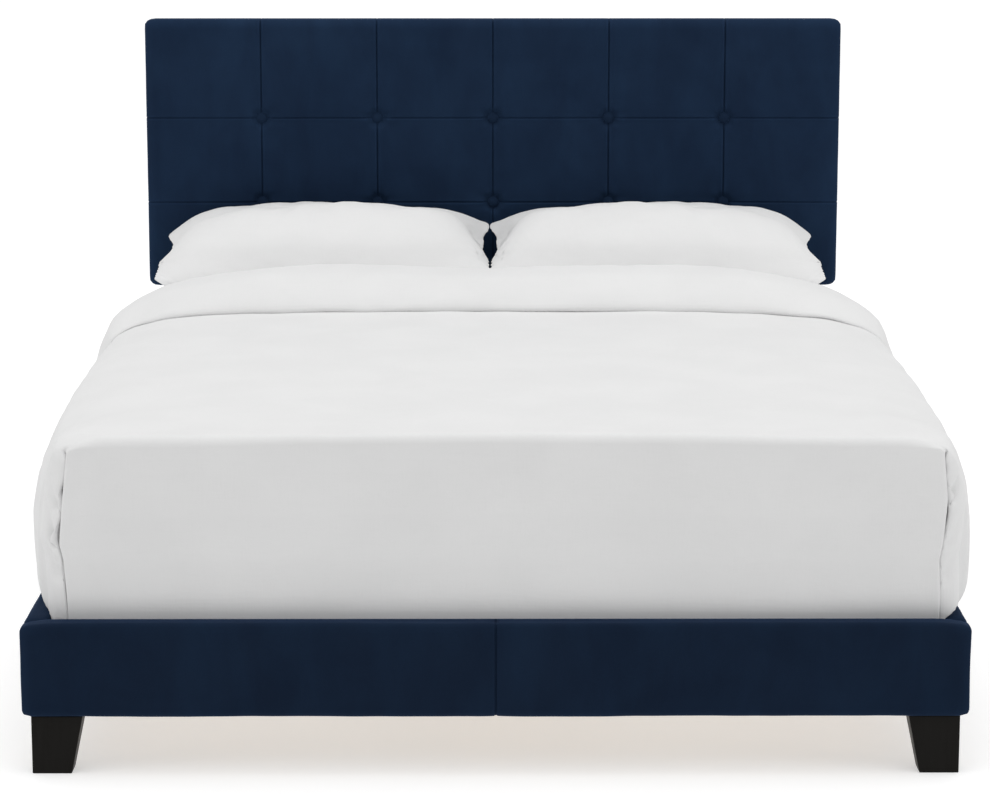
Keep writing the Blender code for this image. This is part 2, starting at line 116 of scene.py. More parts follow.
def make_sky():
    """An even white surround that is brightest straight overhead, like a ceiling of soft boxes."""
    sky = bpy.data.worlds.new("studio")
    sky.use_nodes = True
    tree = sky.node_tree
    way = add_node(tree, "ShaderNodeTexCoord").outputs["Generated"]
    up = add_node(tree, "ShaderNodeSeparateXYZ", {0: way}).outputs["Z"]
    above = add_node(tree, "ShaderNodeClamp", {"Value": up}).outputs[0]
    square = add_node(tree, "ShaderNodeMath", {0: above, 1: 2.0}, operation="POWER").outputs[0]
    spread = add_node(tree, "ShaderNodeMapRange", {
        "Value": square, "To Min": SKY_HORIZON, "To Max": SKY_HORIZON + SKY_MORE_OVERHEAD})
    under = add_node(tree, "ShaderNodeMapRange", {
        "Value": up, "From Min": 0.0, "From Max": -0.05, "To Max": SKY_BELOW - SKY_HORIZON})
    both = add_node(tree, "ShaderNodeMath", {0: spread.outputs[0], 1: under.outputs[0]})
    background = tree.nodes["Background"]
    set_input(tree, background.inputs["Color"], WHITE)
    set_input(tree, background.inputs["Strength"], both.outputs[0])
    return sky


def make_studio():
    """A white floor that glows a little like a light table, and soft light mostly from above."""
    bpy.ops.mesh.primitive_plane_add(size=160.0)
    floor = bpy.context.object
    floor.name = "floor"
    paper = Painter("floor_paper", 0.9, specular=0.1)
    paper.shader.inputs["Base Color"].default_value = (FLOOR_GREY, FLOOR_GREY, FLOOR_GREY, 1.0)
    paper.shader.inputs["Emission Color"].default_value = WHITE
    paper.shader.inputs["Emission Strength"].default_value = FLOOR_GLOW
    floor.data.materials.append(paper.material)
    floor.visible_diffuse = False
    bpy.context.scene.world = make_sky()
    for side_name, side in SIDES:
        make_area_light("fill_" + side_name, (side * 6.0, -2.8, 1.9), (0.0, -0.8, 0.4),
                        (1.6, 1.6), 38.0)
    make_area_light("key", (0.3, -0.6, 6.6), (0.0, 0.0, 0.5), (4.0, 3.0), 62.0)
    bpy.context.scene.view_settings.view_transform = "Standard"


# ---------------- materials


def grey(level):
    return (level, level, level)


def darker(colour, share):
    return tuple(share * part for part in colour)


class Painter:
    """Builds one node material around its Principled shader."""

    def __init__(self, name, roughness, metallic=0.0, specular=0.5, sheen=0.0):
        self.material = bpy.data.materials.new(name)
        self.material.use_nodes = True
        self.tree = self.material.node_tree
        self.shader = self.tree.nodes["Principled BSDF"]
        self.shader.inputs["Roughness"].default_value = roughness
        self.shader.inputs["Metallic"].default_value = metallic
        self.shader.inputs["Specular IOR Level"].default_value = specular
        self.shader.inputs["Sheen Weight"].default_value = sheen
        self.place = self.add("ShaderNodeTexCoord").outputs["Object"]

    def add(self, kind, inputs=None, **settings):
        return add_node(self.tree, kind, inputs, **settings)

    def stretched(self, *scale):
        """Places that vary at a different rate along each axis."""
        return self.add("ShaderNodeMapping", {"Vector": self.place, "Scale": scale}).outputs[0]

    def along(self, axis, fine, coarse):
        """Places that vary fast across one axis, such as X, and slowly along it."""
        return self.stretched(*(coarse if letter == axis else fine for letter in "XYZ"))

    def noise(self, scale, detail=3.0, rough=0.55, distortion=0.0, place=None):
        inputs = {"Vector": place or self.place, "Scale": scale, "Detail": detail,
                  "Roughness": rough, "Distortion": distortion}
        return self.add("ShaderNodeTexNoise", inputs).outputs["Fac"]

    def cells(self, scale):
        inputs = {"Vector": self.place, "Scale": scale}
        return self.add("ShaderNodeTexVoronoi", inputs).outputs["Distance"]

    def bands(self, scale, direction, place=None):
        inputs = {"Vector": place or self.place, "Scale": scale}
        return self.add("ShaderNodeTexWave", inputs, wave_type="BANDS",
                        bands_direction=direction).outputs["Fac"]

    def pointiness(self):
        """Above a half on the mesh's outer edges, and below it in its grooves."""
        return self.add("ShaderNodeNewGeometry").outputs["Pointiness"]

    def ramp(self, value, *stops):
        """A colour or grey for each (place, colour) stop."""
        node = self.add("ShaderNodeValToRGB", {"Fac": value})
        elements = node.color_ramp.elements
        while len(elements) < len(stops):
            elements.new(0.5)
        for element, (place, colour) in zip(elements, stops):
            element.position = place
            element.color = (*(colour if isinstance(colour, tuple) else grey(colour)), 1.0)
        return node.outputs["Color"]

    def mix(self, factor, first, second, blend="MIX"):
        node = self.add("ShaderNodeMix", {"Factor": factor}, data_type="RGBA", blend_type=blend)
        for number, value in ((6, first), (7, second)):
            value = (*value, 1.0) if isinstance(value, tuple) else value
            set_input(self.tree, node.inputs[number], value)
        return node.outputs[2]

    def math(self, operation, first, second):
        return self.add("ShaderNodeMath", {0: first, 1: second}, operation=operation).outputs[0]

    def colour(self, socket):
        self.tree.links.new(socket, self.shader.inputs["Base Color"])

    def roughness(self, socket):
        self.tree.links.new(socket, self.shader.inputs["Roughness"])

    def bump(self, height, distance, strength=1.0, under=None):
        """Adds relief. distance is in metres for a height from 0 to 1."""
        inputs = {"Height": height, "Distance": distance, "Strength": strength}
        if under:
            inputs["Normal"] = under
        return self.add("ShaderNodeBump", inputs).outputs["Normal"]

    def finish(self, normal):
        self.tree.links.new(normal, self.shader.inputs["Normal"])
        return self.material


def velvet_material(name, shade):
    """Dark blue velvet: a short pile with soft brushed patches and a sheen at grazing angles.

    shade is below 1 for darker copies of the same velvet that paint in shade, on the rails and on
    the buttons.
    """
    p = Painter(name, 0.82, specular=0.06, sheen=0.16)
    p.shader.inputs["Sheen Roughness"].default_value = 0.40
    p.shader.inputs["Sheen Tint"].default_value = (0.16, 0.32, 0.72, 1.0)
    patches = p.noise(4.2, 3.0, 0.55, 0.7)
    brushed = p.noise(5.0, 4.0, 0.6, 0.4, p.stretched(2.2, 2.2, 0.8))
    pile = p.noise(900.0, 2.0, 0.6)
    deep = p.ramp(patches, (0.36, darker((0.0090, 0.0215, 0.0510), shade)),
                  (0.66, darker((0.0135, 0.0310, 0.0690), shade)))
    stroked = p.ramp(brushed, (0.38, darker((0.0080, 0.0195, 0.0465), shade)),
                     (0.68, darker((0.0150, 0.0345, 0.0750), shade)))
    cloth = p.mix(0.45, deep, stroked)
    # Painted shade in the grooves of the seams and button dimples, and a painted highlight on the
    # outer edges, from the mesh's pointiness.
    groove_shade_edge_light = p.ramp(p.pointiness(), (0.40, 0.25), (0.485, 0.80), (0.515, 0.80), (0.56, 1.0))
    painted_shade_and_light = p.mix(1.0, cloth, groove_shade_edge_light, "MULTIPLY")
    p.colour(p.mix(0.55, painted_shade_and_light, p.ramp(pile, (0.30, 0.90), (0.72, 1.25)), "MULTIPLY"))
    p.roughness(p.ramp(brushed, (0.30, 0.74), (0.75, 0.92)))
    nap = p.bump(p.noise(160.0, 3.0, 0.6, 0.0, p.stretched(1.0, 1.0, 0.45)), 0.0006, 0.35)
    return p.finish(p.bump(pile, 0.0004, 0.5, nap))


def cotton_material(name, white, crumple=0.0012):
    """Bleached cotton: a fine plain weave, faint slubs and a soft crumple."""
    p = Painter(name, 0.86, specular=0.22, sheen=0.12)
    p.shader.inputs["Sheen Roughness"].default_value = 0.5
    tint = p.noise(7.0, 3.0, 0.5, 0.3)
    slubs_x = p.noise(260.0, 2.0, 0.6, 0.0, p.stretched(0.12, 1.0, 1.0))
    slubs_y = p.noise(260.0, 2.0, 0.6, 0.0, p.stretched(1.0, 0.12, 0.12))
    base = p.ramp(tint, (0.35, darker(white, 0.975)), (0.65, white))
    threads = p.math("ADD", slubs_x, slubs_y)
    p.colour(p.mix(0.35, base, p.ramp(threads, (0.55, 0.95), (1.25, 1.0)), "MULTIPLY"))
    weave_scale = 1400.0 / 6.28
    weave = p.math("MULTIPLY", p.bands(weave_scale, "X"), p.bands(weave_scale, "Y"))
    soft = p.bump(p.noise(16.0, 4.0, 0.55, 0.8), crumple, 0.5)
    slub = p.bump(threads, 0.0003, 0.4, soft)
    p.roughness(p.ramp(tint, (0.3, 0.80), (0.7, 0.90)))
    return p.finish(p.bump(weave, 0.00015, 0.5, slub))


def wood_material(name, axis, pale, dark):
    """Sawn wood with its grain along one axis: growth bands, fine pores and a slow change of
    colour from board to board."""
    dull, smooth, grain = 0.72, 0.6, 0.0004
    p = Painter(name, smooth, specular=0.35)
    run = p.along(axis, 14.0, 0.9)
    bands = p.noise(2.4, 4.0, 0.6, 1.3, run)
    pores = p.noise(26.0, 3.0, 0.7, 0.2, run)
    board = p.noise(1.3, 1.0, 0.5)
    base = p.ramp(bands, (0.32, dark), (0.50, pale), (0.62, darker(pale, 0.92)), (0.78, dark))
    fine = p.mix(0.5, base, p.ramp(pores, (0.30, 0.70), (0.62, 1.0)), "MULTIPLY")
    p.colour(p.mix(0.4, fine, p.ramp(board, (0.35, 0.82), (0.65, 1.0)), "MULTIPLY"))
    p.roughness(p.ramp(pores, (0.3, dull), (0.7, smooth)))
    return p.finish(p.bump(pores, grain, 0.6, p.bump(bands, grain, 0.4)))


def stained_material():
    """Black stained and lacquered wood: the grain barely shows, and corners are a little rubbed."""
    p = Painter("black_wood", 0.45, specular=0.07)
    grain = p.noise(3.0, 4.0, 0.65, 0.8, p.along("Z", 30.0, 2.0))
    black = p.ramp(grain, (0.3, grey(0.0020)), (0.7, (0.0040, 0.0040, 0.0039)))
    rubbed = p.ramp(p.pointiness(), (0.52, 0.0), (0.62, 1.0))
    p.colour(p.mix(p.math("MULTIPLY", rubbed, 0.25), black, (0.045, 0.040, 0.034)))
    p.roughness(p.ramp(grain, (0.3, 0.50), (0.7, 0.36)))
    orange_peel = p.noise(320.0, 1.0, 0.5)
    return p.finish(p.bump(orange_peel, 0.0001, 0.3, p.bump(grain, 0.0003, 0.5)))


def metal_material(name, colour, roughness, metallic):
    p = Painter(name, roughness, metallic)
    grime = p.noise(40.0, 4.0, 0.6, 0.5)
    p.colour(p.ramp(grime, (0.35, darker(colour, 0.78)), (0.65, colour)))
    p.roughness(p.ramp(grime, (0.3, roughness + 0.15), (0.7, roughness)))
    return p.finish(p.bump(p.noise(700.0, 2.0, 0.5), 0.0001, 0.25))


def foam_material():
    p = Painter("upholstery_foam", 0.95, specular=0.1)
    p.colour(p.ramp(p.noise(5.0), (0.35, (0.66, 0.60, 0.42)), (0.65, (0.74, 0.69, 0.52))))
    return p.finish(p.bump(p.cells(520.0), 0.0008, 0.8))


def back_cloth_material():
    """Black non-woven cloth: pressed dots over loose fibres."""
    p = Painter("back_cloth", 0.92, specular=0.15)
    fibres = p.noise(420.0, 4.0, 0.7, 1.2)
    p.colour(p.ramp(fibres, (0.35, 0.008), (0.70, 0.022)))
    p.roughness(p.ramp(fibres, (0.3, 0.95), (0.7, 0.82)))
    return p.finish(p.bump(p.cells(330.0), 0.0004, 0.5, p.bump(fibres, 0.0003, 0.5)))


def ticking_material():
    """Knitted mattress ticking: small raised diamonds in an off-white stretch knit."""
    p = Painter("mattress_ticking", 0.88, specular=0.2, sheen=0.15)
    turned = p.add("ShaderNodeMapping", {"Vector": p.place, "Rotation": (0.0, 0.0, math.pi / 2)})
    diamonds = p.math("MULTIPLY", p.bands(42.0, "DIAGONAL"),
                      p.bands(42.0, "DIAGONAL", turned.outputs[0]))
    p.colour(p.ramp(diamonds, (0.10, (0.70, 0.70, 0.69)), (0.60, (0.80, 0.80, 0.79))))
    knit = p.noise(480.0, 2.0, 0.6)
    return p.finish(p.bump(knit, 0.0003, 0.5, p.bump(diamonds, 0.0008, 0.5)))


PINE = ((0.66, 0.49, 0.30), (0.50, 0.33, 0.17))
MATERIALS = {
    "velvet": velvet_material("navy_velvet", 1.0),
    # Darker copies of the same velvet, painted shade: for the rails and for the buttons sunk in
    # their dimples.
    "rail_shaded_velvet": velvet_material("navy_velvet_rails_shaded", 0.66),
    "button_shaded_velvet": velvet_material("navy_velvet_buttons_shaded", 0.85),
    "duvet": cotton_material("duvet_cotton", grey(0.765)),
    "pillow": cotton_material("pillow_cotton", grey(0.77), 0.0009),
    "piping": cotton_material("piping_cotton", (0.62, 0.63, 0.65), 0.0002),
    "ticking": ticking_material(),
    "pine_x": wood_material("pine_x", "X", *PINE),
    "pine_y": wood_material("pine_y", "Y", *PINE),
    "plywood": wood_material("plywood", "X", (0.56, 0.41, 0.25), (0.42, 0.27, 0.14)),
    "black_wood": stained_material(),
    "black_steel": metal_material("black_steel", (0.020, 0.020, 0.022), 0.45, 0.0),
    "zinc": metal_material("zinc_steel", (0.56, 0.56, 0.57), 0.34, 1.0),
    "foam": foam_material(),
    "back_cloth": back_cloth_material(),
}


# ---------------- mesh tools


def lattice_lines(low, high, step, fine=(), offsets=()):
    """Even grid lines from low to high, with extra ones at some distances from each fine place."""
    count = max(int(round((high - low) / step)), 1)
    lines = set(np.round(np.linspace(low, high, count + 1), 5))
    for place in fine:
        crowd = max(offsets)
        lines = {x for x in lines if abs(x - place) > crowd * 1.25}
        lines |= {round(place + sign * d, 5) for d in offsets for sign in (-1, 1)}
    return np.array(sorted(x for x in lines if low - 1e-6 <= x <= high + 1e-6))


def box_shell(xs, ys, zs, open_sides=()):
    """The surface of a box on three sets of grid lines: points, and quads that face out.

    open_sides holds (axis, end) pairs, such as (2, 0) for the bottom, that are left open.
    """
    lines = (xs, ys, zs)
    sizes = [len(a) for a in lines]
    quads = []
    for axis in range(3):
        b, c = (axis + 1) % 3, (axis + 2) % 3
        nb, nc = sizes[b], sizes[c]
        ib, ic = np.meshgrid(np.arange(nb - 1), np.arange(nc - 1), indexing="ij")
        for end in (0, 1):
            if (axis, end) in open_sides:
                continue
            keys = []
            for db, dc in ((0, 0), (1, 0), (1, 1), (0, 1)):
                index = {axis: np.full(ib.shape, end * (sizes[axis] - 1)), b: ib + db, c: ic + dc}
                keys.append(np.ravel_multi_index([index[i] for i in range(3)], sizes))
            quad = np.stack([k.ravel() for k in keys], axis=1)
            quads.append(quad if end else quad[:, ::-1])
    quads = np.concatenate(quads)
    keys, faces = np.unique(quads, return_inverse=True)
    i, j, k = np.unravel_index(keys, sizes)
    return np.stack([xs[i], ys[j], zs[k]], axis=1), faces.reshape(quads.shape)


def round_edges(points, low, high, radius):
    """Moves a box's surface points so that its edges and corners are round.

    radius is one number or one for each axis. Also returns the outward direction at each point.
    """
    radius = np.broadcast_to(np.asarray(radius, float), (3,))
    core = np.clip(points, np.asarray(low) + radius, np.asarray(high) - radius)
    away = (points - core) / radius
    length = np.linalg.norm(away, axis=1, keepdims=True)
    direction = away / np.maximum(length, 1e-9)
    outward = direction / radius
    outward /= np.maximum(np.linalg.norm(outward, axis=1, keepdims=True), 1e-9)
    return core + direction * radius, outward


def soft_noise(points, wavelength, seed, octaves=7):
    """A smooth unevenness from -1 to 1, made of waves in seeded directions."""
    rng = np.random.default_rng(seed)
    total = np.zeros(len(points))
    for _ in range(octaves):
        way = rng.normal(size=3)
        way /= np.linalg.norm(way)
        rate = 2 * math.pi / (wavelength * rng.uniform(0.7, 1.5))
        total += np.sin(points @ way * rate + rng.uniform(0, 2 * math.pi))
    return total / math.sqrt(octaves) / 1.6


def bell(distance, width):
    return np.exp(-((distance / width) ** 2))


def step(value, low, high):
    """0 below low, 1 above high, and smooth between."""
    t = np.clip((value - low) / (high - low), 0.0, 1.0)
    return t * t * (3 - 2 * t)


def make_piece(name, points, faces, material, body, replaces=()):
    mesh = bpy.data.meshes.new(name)
    mesh.from_pydata([tuple(p) for p in points], [], [tuple(int(i) for i in f) for f in faces])
    mesh.materials.append(MATERIALS[material])
    mesh.shade_smooth()
    piece = bpy.data.objects.new(name, mesh)
    bpy.context.scene.collection.objects.link(piece)
    if body:
        settle(piece, body, replaces)
    return piece


def settle(piece, body, replaces=()):
    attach(piece, body)
    if replaces:
        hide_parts(*replaces)


def apply_modifiers(piece):
    """Makes what the modifiers show the piece's own mesh."""
    graph = bpy.context.evaluated_depsgraph_get()
    mesh = bpy.data.meshes.new_from_object(piece.evaluated_get(graph))
    old = piece.data
    piece.modifiers.clear()
    piece.data = mesh
    bpy.data.meshes.remove(old)


def face_outward(piece):
    """Joins points that coincide, and turns every face outward."""
    bm = bmesh.new()
    bm.from_mesh(piece.data)
    bmesh.ops.remove_doubles(bm, verts=bm.verts, dist=0.00002)
    bmesh.ops.recalc_face_normals(bm, faces=bm.faces)
    bm.to_mesh(piece.data)
    bm.free()
    piece.data.shade_smooth()


def carve_box(piece, low, high):
    """Cuts a box-shaped pocket out of the piece."""
    bm = bmesh.new()
    size = Vector(high) - Vector(low)
    middle = Matrix.Translation((Vector(high) + Vector(low)) / 2)
    bmesh.ops.create_cube(bm, size=1.0, matrix=middle @ Matrix.Diagonal((*size, 1.0)))
    mesh = bpy.data.meshes.new("pocket")
    bm.to_mesh(mesh)
    bm.free()
    cutter = bpy.data.objects.new("pocket", mesh)
    bpy.context.scene.collection.objects.link(cutter)
    boolean = piece.modifiers.new("pocket", "BOOLEAN")
    boolean.operation = "DIFFERENCE"
    boolean.object = cutter
    apply_modifiers(piece)
    bpy.data.objects.remove(cutter)


def ring_faces(count, sides, closed=False):
    """Quads between rings of points, each ring joined to the next."""
    faces = []
    for ring in range(count if closed else count - 1):
        here, following = ring * sides, (ring + 1) % count * sides
        for side in range(sides):
            other = (side + 1) % sides
            faces.append((here + side, here + other, following + other, following + side))
    return faces


def closed_tube(path, ways, radius, sides=10):
    """A round tube along a closed path. ways holds two unit vectors across it at each point."""
    turn = np.linspace(0, 2 * math.pi, sides, endpoint=False)[None, :, None]
    one, two = ways
    rings = path[:, None] + radius * (np.cos(turn) * one[:, None] + np.sin(turn) * two[:, None])
    return rings.reshape(-1, 3), ring_faces(len(path), sides, closed=True)


# ---------------- headboard

BUTTON_COLUMNS = 5
PITCH = (HEADBOARD[1].x - HEADBOARD[0].x) / (BUTTON_COLUMNS + 1)
SEAM_X = [HEADBOARD[0].x + PITCH * (i + 1) for i in range(BUTTON_COLUMNS)]
SEAM_Z = [HEADBOARD[0].z + 0.2, HEADBOARD[0].z + 0.4]
# Grid lines at these distances from each seam, so that its groove has enough points.
SEAM_OFFSETS = (0.0, 0.0006, 0.0012, 0.0020, 0.0032, 0.0055, 0.0085,
                0.0120, 0.0150, 0.0180, 0.0215, 0.0260, 0.0320)
HEADBOARD_ROUNDING = (0.022, 0.017, 0.016)
DEEPEST = 0.0118
FABRIC_PROUD = 0.0022
POCKET_CLEAR = 0.0003
SHARP_ANGLE = math.radians(50)


def make_headboard_cover():
    """Velvet over foam, drawn in along the seams and at the buttons."""
    low, high = np.array(HEADBOARD[0]), np.array(HEADBOARD[1])
    xs = lattice_lines(low[0], high[0], 0.012, SEAM_X, SEAM_OFFSETS)
    ys = lattice_lines(low[1], high[1], 0.0045)
    zs = lattice_lines(low[2], high[2], 0.012, SEAM_Z, SEAM_OFFSETS)
    flat, faces = box_shell(xs, ys, zs)
    points, outward = round_edges(flat, low, high, HEADBOARD_ROUNDING)
    x, y, z = points.T
    depth_share = 1 - step(y, low[1] + 0.020, high[1] - 0.006)
    to_column = np.min([abs(x - s) for s in SEAM_X], axis=0)
    to_row = np.min([abs(z - s) for s in SEAM_Z], axis=0)
    inward = np.zeros(len(points))
    for distance, deep in ((to_column, 1.0), (to_row, 0.6)):
        groove, lips = bell(distance, 0.0016), bell(distance - 0.0042, 0.0018)
        inward += deep * (0.0030 * groove - 0.0013 * lips)
        inward += deep * 0.0012 * np.exp(-distance / 0.010)
    for button_x in SEAM_X:
        for button_z in SEAM_Z:
            away = np.hypot(x - button_x, z - button_z)
            pleats = np.cos(7 * np.arctan2(z - button_z, x - button_x) + 9.0 * button_x + 0.6)
            inward += 0.0108 * np.exp(-((away / 0.0195) ** 4)) + 0.0030 * np.exp(-away / 0.030)
            inward += 0.0009 * pleats * bell(away - 0.027, 0.014)
    inward = DEEPEST * np.tanh(inward / DEEPEST)
    front_facing = step(-outward[:, 1], 0.2, 0.9)
    swell = 0.0016 * soft_noise(points, 0.16, 11) + 0.0007 * soft_noise(points, 0.05, 12)
    swell *= 0.12 + 0.88 * front_facing
    on_front = step(-outward[:, 1], -0.7, 0.0)
    inward *= 0.35 + 0.65 * front_facing
    proud = FABRIC_PROUD * (0.2 + 0.8 * front_facing)
    points += outward * ((proud * on_front + swell * on_front - inward) * depth_share)[:, None]
    cover = make_piece("headboard_velvet", points, faces, "velvet", None)
    pocket_low, pocket_high = (np.array(corner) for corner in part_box("headboard_foam"))
    pocket_low -= POCKET_CLEAR
    pocket_high += POCKET_CLEAR
    pocket_high[1] = high[1] + 0.01
    carve_box(cover, pocket_low, pocket_high)
    cover.data.set_sharp_from_angle(angle=SHARP_ANGLE)
    settle(cover, FRAME_BODY, ["headboard_cover"])


def make_button(index):
    """A velvet-covered button: a dome with a gathered rim."""
    node = f"tuft_button_{index:02d}"
    low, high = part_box(node)
    centre = (low + high) / 2
    radius = (high.x - low.x) / 2
    rings, sides = 11, 40
    share, turn = np.meshgrid(np.linspace(0, 1, rings),
                              np.linspace(0, 2 * math.pi, sides, endpoint=False), indexing="ij")
    lean = share * math.radians(112)
    out = radius * np.sin(np.minimum(lean, math.pi / 2)) * (1 - 0.5 * np.maximum(share - 0.8, 0))
    out *= 1 + 0.018 * share * np.cos(14 * turn + index)
    y = high.y - 0.0028 - 0.0072 * np.cos(lean)
    points = [centre.x + out * np.cos(turn), y, centre.z + out * np.sin(turn)]
    points = np.stack(points, axis=2).reshape(-1, 3)
    faces = ring_faces(rings, sides)
    faces.append(tuple(range((rings - 1) * sides, rings * sides)))
    # The button wears the darker copy of the velvet, painted shade.
    piece = make_piece(f"button_{index:02d}", points, faces, "button_shaded_velvet", None)
    face_outward(piece)
    settle(piece, FRAME_BODY, [node])


# ---------------- rails

RAIL_ROUNDING = 0.0125
RAIL_TIGHT_ROUNDING = 0.003
RAIL_CROWN = 0.0030


def make_rail_cover(name, node, board, long_axis, open_side):
    """Velvet over a thin pad, with an upright seam in the middle and a pocket for its board.

    open_side is 1 or -1: which side of the rail, across its long axis, faces the mattress. The
    edge on that side is pulled tight, and the top is crowned a little.
    """
    low, high = (np.array(corner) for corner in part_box(node))
    ends = low[long_axis], high[long_axis]
    middle = (ends[0] + ends[1]) / 2
    lines = [lattice_lines(low[axis], high[axis], 0.0052) for axis in range(3)]
    lines[long_axis] = lattice_lines(*ends, 0.016, [middle], SEAM_OFFSETS)
    flat, faces = box_shell(*lines)
    points, outward = round_edges(flat, low, high, RAIL_ROUNDING)
    tight_points, tight_outward = round_edges(flat, low, high, RAIL_TIGHT_ROUNDING)
    across = 1 - long_axis
    inner = high[across] if open_side > 0 else low[across]
    from_end = (ends[1] - ends[0]) / 2 - abs(flat[:, long_axis] - middle)
    tight = 1 - step(abs(flat[:, across] - inner), 0.016, 0.024)
    tight = (tight * step(from_end, 0.010, 0.040))[:, None]
    points += (tight_points - points) * tight
    outward += (tight_outward - outward) * tight
    share = step(abs(points[:, across] - inner), 0.004, 0.016)
    off_seam = abs(points[:, long_axis] - middle)
    inward = 0.0016 * bell(off_seam - 0.0012, 0.0009) + 0.0010 * np.exp(-off_seam / 0.008)
    swell = 0.0009 * soft_noise(points, 0.30, 21) + 0.0004 * soft_noise(points, 0.07, 22)
    crown = RAIL_CROWN * step(outward[:, 2], 0.6, 1.0) * step(from_end, 0.005, 0.060)
    points += outward * ((swell - inward) * share + crown)[:, None]
    # The rail wears the darker copy of the velvet, painted shade.
    cover = make_piece(name, points, faces, "rail_shaded_velvet", None)
    inside = [np.array(corner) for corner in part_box(board)]
    inside[0] -= POCKET_CLEAR
    inside[1] += POCKET_CLEAR
    inside[1 if open_side > 0 else 0][across] += open_side * 0.02
    carve_box(cover, *inside)
    cover.data.set_sharp_from_angle(angle=SHARP_ANGLE)
    settle(cover, FRAME_BODY, [node])


# ---------------- mattress

MATTRESS_ROUNDING = (0.055, 0.055, 0.030)
QUILT_STEP = 0.12
QUILT_WAVE = 0.012
STITCH_ROW_HEIGHT = 0.055
PIPING_RADIUS = 0.0035


def rounded_rectangle(half_x, y_low, y_high, radius):
    """Points round a rectangle with round corners, and the outward direction at each."""
    knots = []
    for x, y, start in ((1, y_high, 0), (-1, y_high, 90), (-1, y_low, 180), (1, y_low, 270)):
        centre = (x * (half_x - radius), y - radius if y == y_high else y + radius)
        for angle in np.radians(np.linspace(start, start + 90, 9)):
            way = np.array([math.cos(angle), math.sin(angle)])
            knots.append(np.concatenate([centre + radius * way, way]))
    dense = []
    for here, there in zip(knots, knots[1:] + knots[:1]):
        count = max(int(math.dist(here[:2], there[:2]) / 0.02), 1)
        dense += [here + (there - here) * k / count for k in range(count)]
    places, ways = np.hsplit(np.array(dense), 2)
    return places, ways / np.linalg.norm(ways, axis=1, keepdims=True)


def make_mattress():
    """A quilted top and bottom panel, a border with rows of stitching, and piped edges."""
    low, high = np.array(MATTRESS[0]), np.array(MATTRESS[1])
    lines = [lattice_lines(*ends) for ends in zip(low, high, (0.015, 0.015, 0.010))]
    flat, faces = box_shell(*lines)
    points, outward = round_edges(flat, low, high, MATTRESS_ROUNDING)
    x, y, z = points.T
    facing_up = step(abs(outward[:, 2]), 0.75, 0.98)
    off_line = np.full(len(points), QUILT_STEP)
    for across, along in ((x, y), (y, x)):
        wave = (across + QUILT_WAVE * np.sin(along / QUILT_STEP * math.pi)) / QUILT_STEP
        off_line = np.minimum(off_line, abs(wave - np.round(wave)) * QUILT_STEP)
    inward = facing_up * (0.0045 * np.exp(-off_line / 0.012))
    middle = (low[2] + high[2]) / 2
    for line in (middle - STITCH_ROW_HEIGHT, middle + STITCH_ROW_HEIGHT):
        inward += (1 - facing_up) * 0.0030 * np.exp(-abs(z - line) / 0.008)
    edge = np.minimum(abs(z - low[2] - 0.030), abs(z - high[2] + 0.030))
    inward += (1 - facing_up) * 0.0040 * np.exp(-edge / 0.007)
    bulge = (1 - facing_up) * 0.002 * (1 - ((z - middle) / (high[2] - middle)) ** 2)
    bulge += 0.0008 * soft_noise(points, 0.20, 31)
    points += outward * (bulge - inward - 0.001)[:, None]
    points[:, 2] = np.maximum(points[:, 2], low[2])
    mattress = make_piece("quilted_mattress", points, faces, "ticking", "mattress",
                          ["mattress"])
    ring, ways = rounded_rectangle(high[0] + 0.0005, low[1] - 0.0005, high[1] + 0.0005,
                                   MATTRESS_ROUNDING[0])
    up = np.tile((0.0, 0.0, 1.0), (len(ring), 1))
    out = np.column_stack([ways, np.zeros(len(ways))])
    for label, height in (("lower", low[2] + 0.028), ("upper", high[2] - 0.028)):
        path = np.column_stack([ring, np.full(len(ring), height)])
        tube, tube_faces = closed_tube(path, (out, up), PIPING_RADIUS)
        make_piece("mattress_piping_" + label, tube, tube_faces, "piping", "mattress")


# ---------------- duvet

RAIL_CLEAR = 0.0018
INNER_CLEAR = 0.004
HEM_Z = FOOT_COVER[1].z - 0.010
HEM_HALF = SIDE_COVER[0].x - RAIL_CLEAR
HEM_FRONT_Y = FOOT_COVER[1].y + RAIL_CLEAR
FRONT_Y = DUVET[0].y + 0.004
HEAD_Y = DUVET[1].y - 0.012
TOP_Z = 0.592
TOP_RISE = 0.004
SIDE_ARC = 0.30
EDGE_RADIUS = 0.017
CORNER_ROWS = 52
WIDENING = 1.3

# For each side: half width at the foot, how much wider it gets, and over what length.
SPREAD = {-1: (0.776, 0.088, 0.28), 1: (0.801, 0.075, 0.22)}

# The corners' creases on the front: heights, and the half width at each height.
CORNER_HEIGHTS = (0.276, 0.375, 0.405, 0.480, 0.570)
CORNER_LINE = {-1: (0.736, 0.740, 0.746, 0.738, 0.728), 1: (0.764, 0.759, 0.764, 0.770, 0.764)}

# A folded corner seen from above: the front's edge, a slot behind it, and the side panel's
# fullness. Distance from the front, and distance out from the crease.
CORNER_FOLD = (
    (0.0000, 0.0000), (0.0008, 0.0018), (0.0030, 0.0030), (0.0080, 0.0030), (0.0150, 0.0020),
    (0.0225, 0.0014), (0.0240, 0.0026), (0.0205, 0.0040), (0.0130, 0.0042), (0.0078, 0.0046),
    (0.0058, 0.0072), (0.0070, 0.0120), (0.0110, 0.0180), (0.0170, 0.0245), (0.0250, 0.0305),
    (0.0350, 0.0355), (0.0470, 0.0400), (0.0620, 0.0445),
)

# Where a side panel stands off its crease: height, distance and spread, twice for each side.
SLOTS = {
    -1: ((0.422, 0.0056, 0.024), (0.498, 0.0050, 0.018)),
    1: ((0.456, 0.0060, 0.030), (0.532, 0.0026, 0.014)),
}

